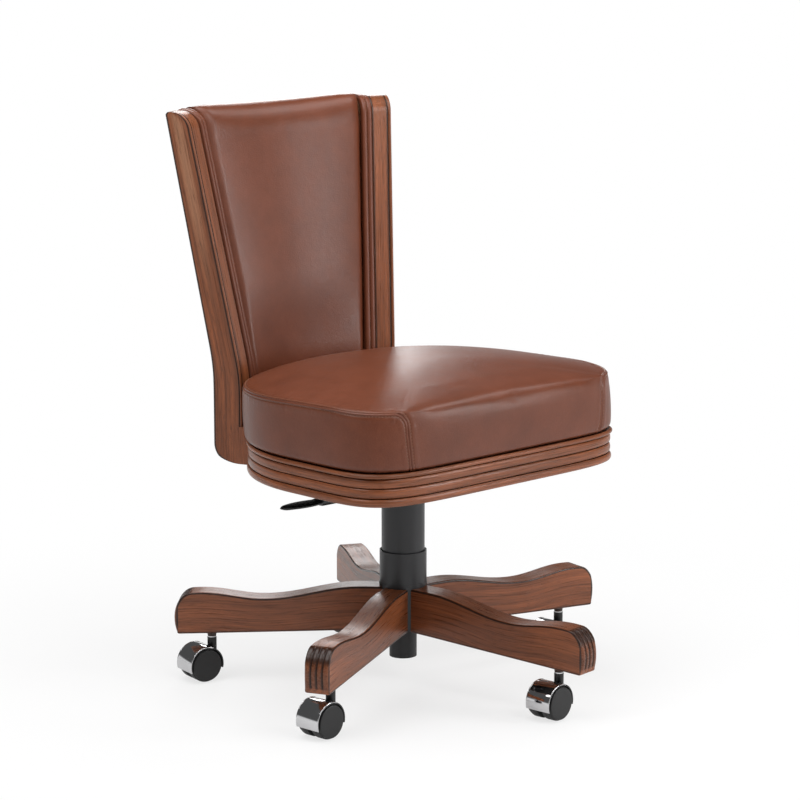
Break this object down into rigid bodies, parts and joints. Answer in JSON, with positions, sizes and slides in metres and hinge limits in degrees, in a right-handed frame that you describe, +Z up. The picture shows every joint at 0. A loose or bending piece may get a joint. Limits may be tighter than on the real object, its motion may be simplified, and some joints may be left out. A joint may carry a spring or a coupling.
{
  "type": "swivel gaming chair",
  "caption": "Armless swivel chair: brown leather seat and back in a dark stained reeded wood frame, gas column, five curved wooden arms and hooded castors",
  "frame": {"origin": "on the floor, under the middle of the column", "axes": "+Z up, the seat faces -Y, the sitter's right hand is on -X"},
  "size_m": [0.6367, 0.6416, 0.8315],
  "materials": {
    "leather": "smooth, lightly waxed",
    "stained_wood": "stained and satin lacquered",
    "birch": "bare plywood",
    "foam": "soft open foam, felt matt",
    "black_cloth": "thin woven lining",
    "black_paint": "satin",
    "charcoal_plastic": "satin",
    "brown_plastic": "satin",
    "black_plastic": "satin",
    "white_plastic": "plain",
    "chrome": "bright",
    "steel": "zinc bright",
    "tread": "hard wheel, satin"
  },
  "bodies": {
    "base": {"centre_hub": "black_paint", "column_tube": "black_paint", "guide_bush": "white_plastic", "lower_sleeve": "charcoal_plastic", "thrust_washer_lower": "steel", "base_arm_1": "stained_wood", "base_arm_2": "stained_wood", "base_arm_3": "stained_wood", "base_arm_4": "stained_wood", "base_arm_5": "stained_wood", "arm_bolts": "steel", "castor_sockets": "brown_plastic", "castor_stems": "steel"},
    "rod": {"piston_rod": "chrome", "thrust_washer_upper": "steel", "rod_clip": "steel"},
    "middle": {"middle_sleeve": "charcoal_plastic"},
    "seat": {"gas_cylinder": "black_paint", "upper_sleeve": "charcoal_plastic", "mechanism_housing": "black_paint", "mechanism_plate": "black_paint", "mechanism_screws": "steel", "lever_pivot_pin": "steel", "seat_cleats": "birch", "dust_cover": "black_cloth", "seat_board": "birch", "seat_rail": "stained_wood", "seat_foam": "foam", "seat_cover": "leather", "back_post_right": "stained_wood", "back_post_left": "stained_wood", "post_bolts": "steel", "back_bottom_rail": "birch", "back_top_rail": "birch", "back_board": "birch", "back_foam": "foam", "back_cover": "leather", "back_top_roll": "leather", "rear_panel": "leather", "welt_right": "leather", "welt_left": "leather"},
    "lever": {"lever_rod": "steel", "lever_paddle": "black_plastic"},
    "valve": {"valve_pin": "steel"},
    "castor_1": {"castor_frame_1": "black_plastic", "castor_hood_1": "chrome"},
    "wheels_1": {"castor_wheels_1": "tread"},
    "castor_2": {"castor_frame_2": "black_plastic", "castor_hood_2": "chrome"},
    "wheels_2": {"castor_wheels_2": "tread"},
    "castor_3": {"castor_frame_3": "black_plastic", "castor_hood_3": "chrome"},
    "wheels_3": {"castor_wheels_3": "tread"},
    "castor_4": {"castor_frame_4": "black_plastic", "castor_hood_4": "chrome"},
    "wheels_4": {"castor_wheels_4": "tread"},
    "castor_5": {"castor_frame_5": "black_plastic", "castor_hood_5": "chrome"},
    "wheels_5": {"castor_wheels_5": "tread"}
  },
  "joints": [
    {"name": "seat_swivel", "type": "hinge", "parent": "base", "child": "rod", "pos_m": [0, 0, 0.05], "axis": [0, 0, 1], "continuous": true},
    {"name": "sleeve_slide", "type": "slide", "parent": "rod", "child": "middle", "axis": [0, 0, 1], "range_m": [0, 0.04]},
    {"name": "height_lift", "type": "slide", "parent": "rod", "child": "seat", "axis": [0, 0, 1], "range_m": [0, 0.08]},
    {"name": "height_lever", "type": "hinge", "parent": "seat", "child": "lever", "pos_m": [-0.045, 0, 0.3045], "axis": [0, 1, 0], "range_deg": [0, 5], "stiffness_Nm_per_rad": 2},
    {"name": "valve_push", "type": "slide", "parent": "seat", "child": "valve", "axis": [0, 0, -1], "range_m": [0, 0.0043]},
    {"name": "castor_swivel_1", "type": "hinge", "parent": "base", "child": "castor_1", "pos_m": [-0.19203, 0.20378, 0.06], "axis": [0, 0, 1], "continuous": true},
    {"name": "wheel_roll_1", "type": "hinge", "parent": "castor_1", "child": "wheels_1", "pos_m": [-0.21172, 0.20725, 0.025], "axis": [0.1736, 0.9848, 0], "continuous": true},
    {"name": "castor_swivel_2", "type": "hinge", "parent": "base", "child": "castor_2", "pos_m": [-0.25314, -0.11966, 0.06], "axis": [0, 0, 1], "continuous": true},
    {"name": "wheel_roll_2", "type": "hinge", "parent": "castor_2", "child": "wheels_2", "pos_m": [-0.27309, -0.12105, 0.025], "axis": [-0.0698, 0.9976, 0], "continuous": true},
    {"name": "castor_swivel_3", "type": "hinge", "parent": "base", "child": "castor_3", "pos_m": [0.03558, -0.27773, 0.06], "axis": [0, 0, 1], "continuous": true},
    {"name": "wheel_roll_3", "type": "hinge", "parent": "castor_3", "child": "wheels_3", "pos_m": [0.01563, -0.27913, 0.025], "axis": [-0.0698, 0.9976, 0], "continuous": true},
    {"name": "castor_swivel_4", "type": "hinge", "parent": "base", "child": "castor_4", "pos_m": [0.27513, -0.05199, 0.06], "axis": [0, 0, 1], "continuous": true},
    {"name": "wheel_roll_4", "type": "hinge", "parent": "castor_4", "child": "wheels_4", "pos_m": [0.25518, -0.05338, 0.025], "axis": [-0.0698, 0.9976, 0], "continuous": true},
    {"name": "castor_swivel_5", "type": "hinge", "parent": "base", "child": "castor_5", "pos_m": [0.13446, 0.2456, 0.06], "axis": [0, 0, 1], "continuous": true},
    {"name": "wheel_roll_5", "type": "hinge", "parent": "castor_5", "child": "wheels_5", "pos_m": [0.11514, 0.24042, 0.025], "axis": [-0.2588, 0.9659, 0], "continuous": true}
  ],
  "couplings": [
    {"joint": "sleeve_slide", "follows": "height_lift", "ratio": 0.5},
    {"joint": "valve_push", "follows": "height_lever", "m_per_rad": 0.049}
  ]
}
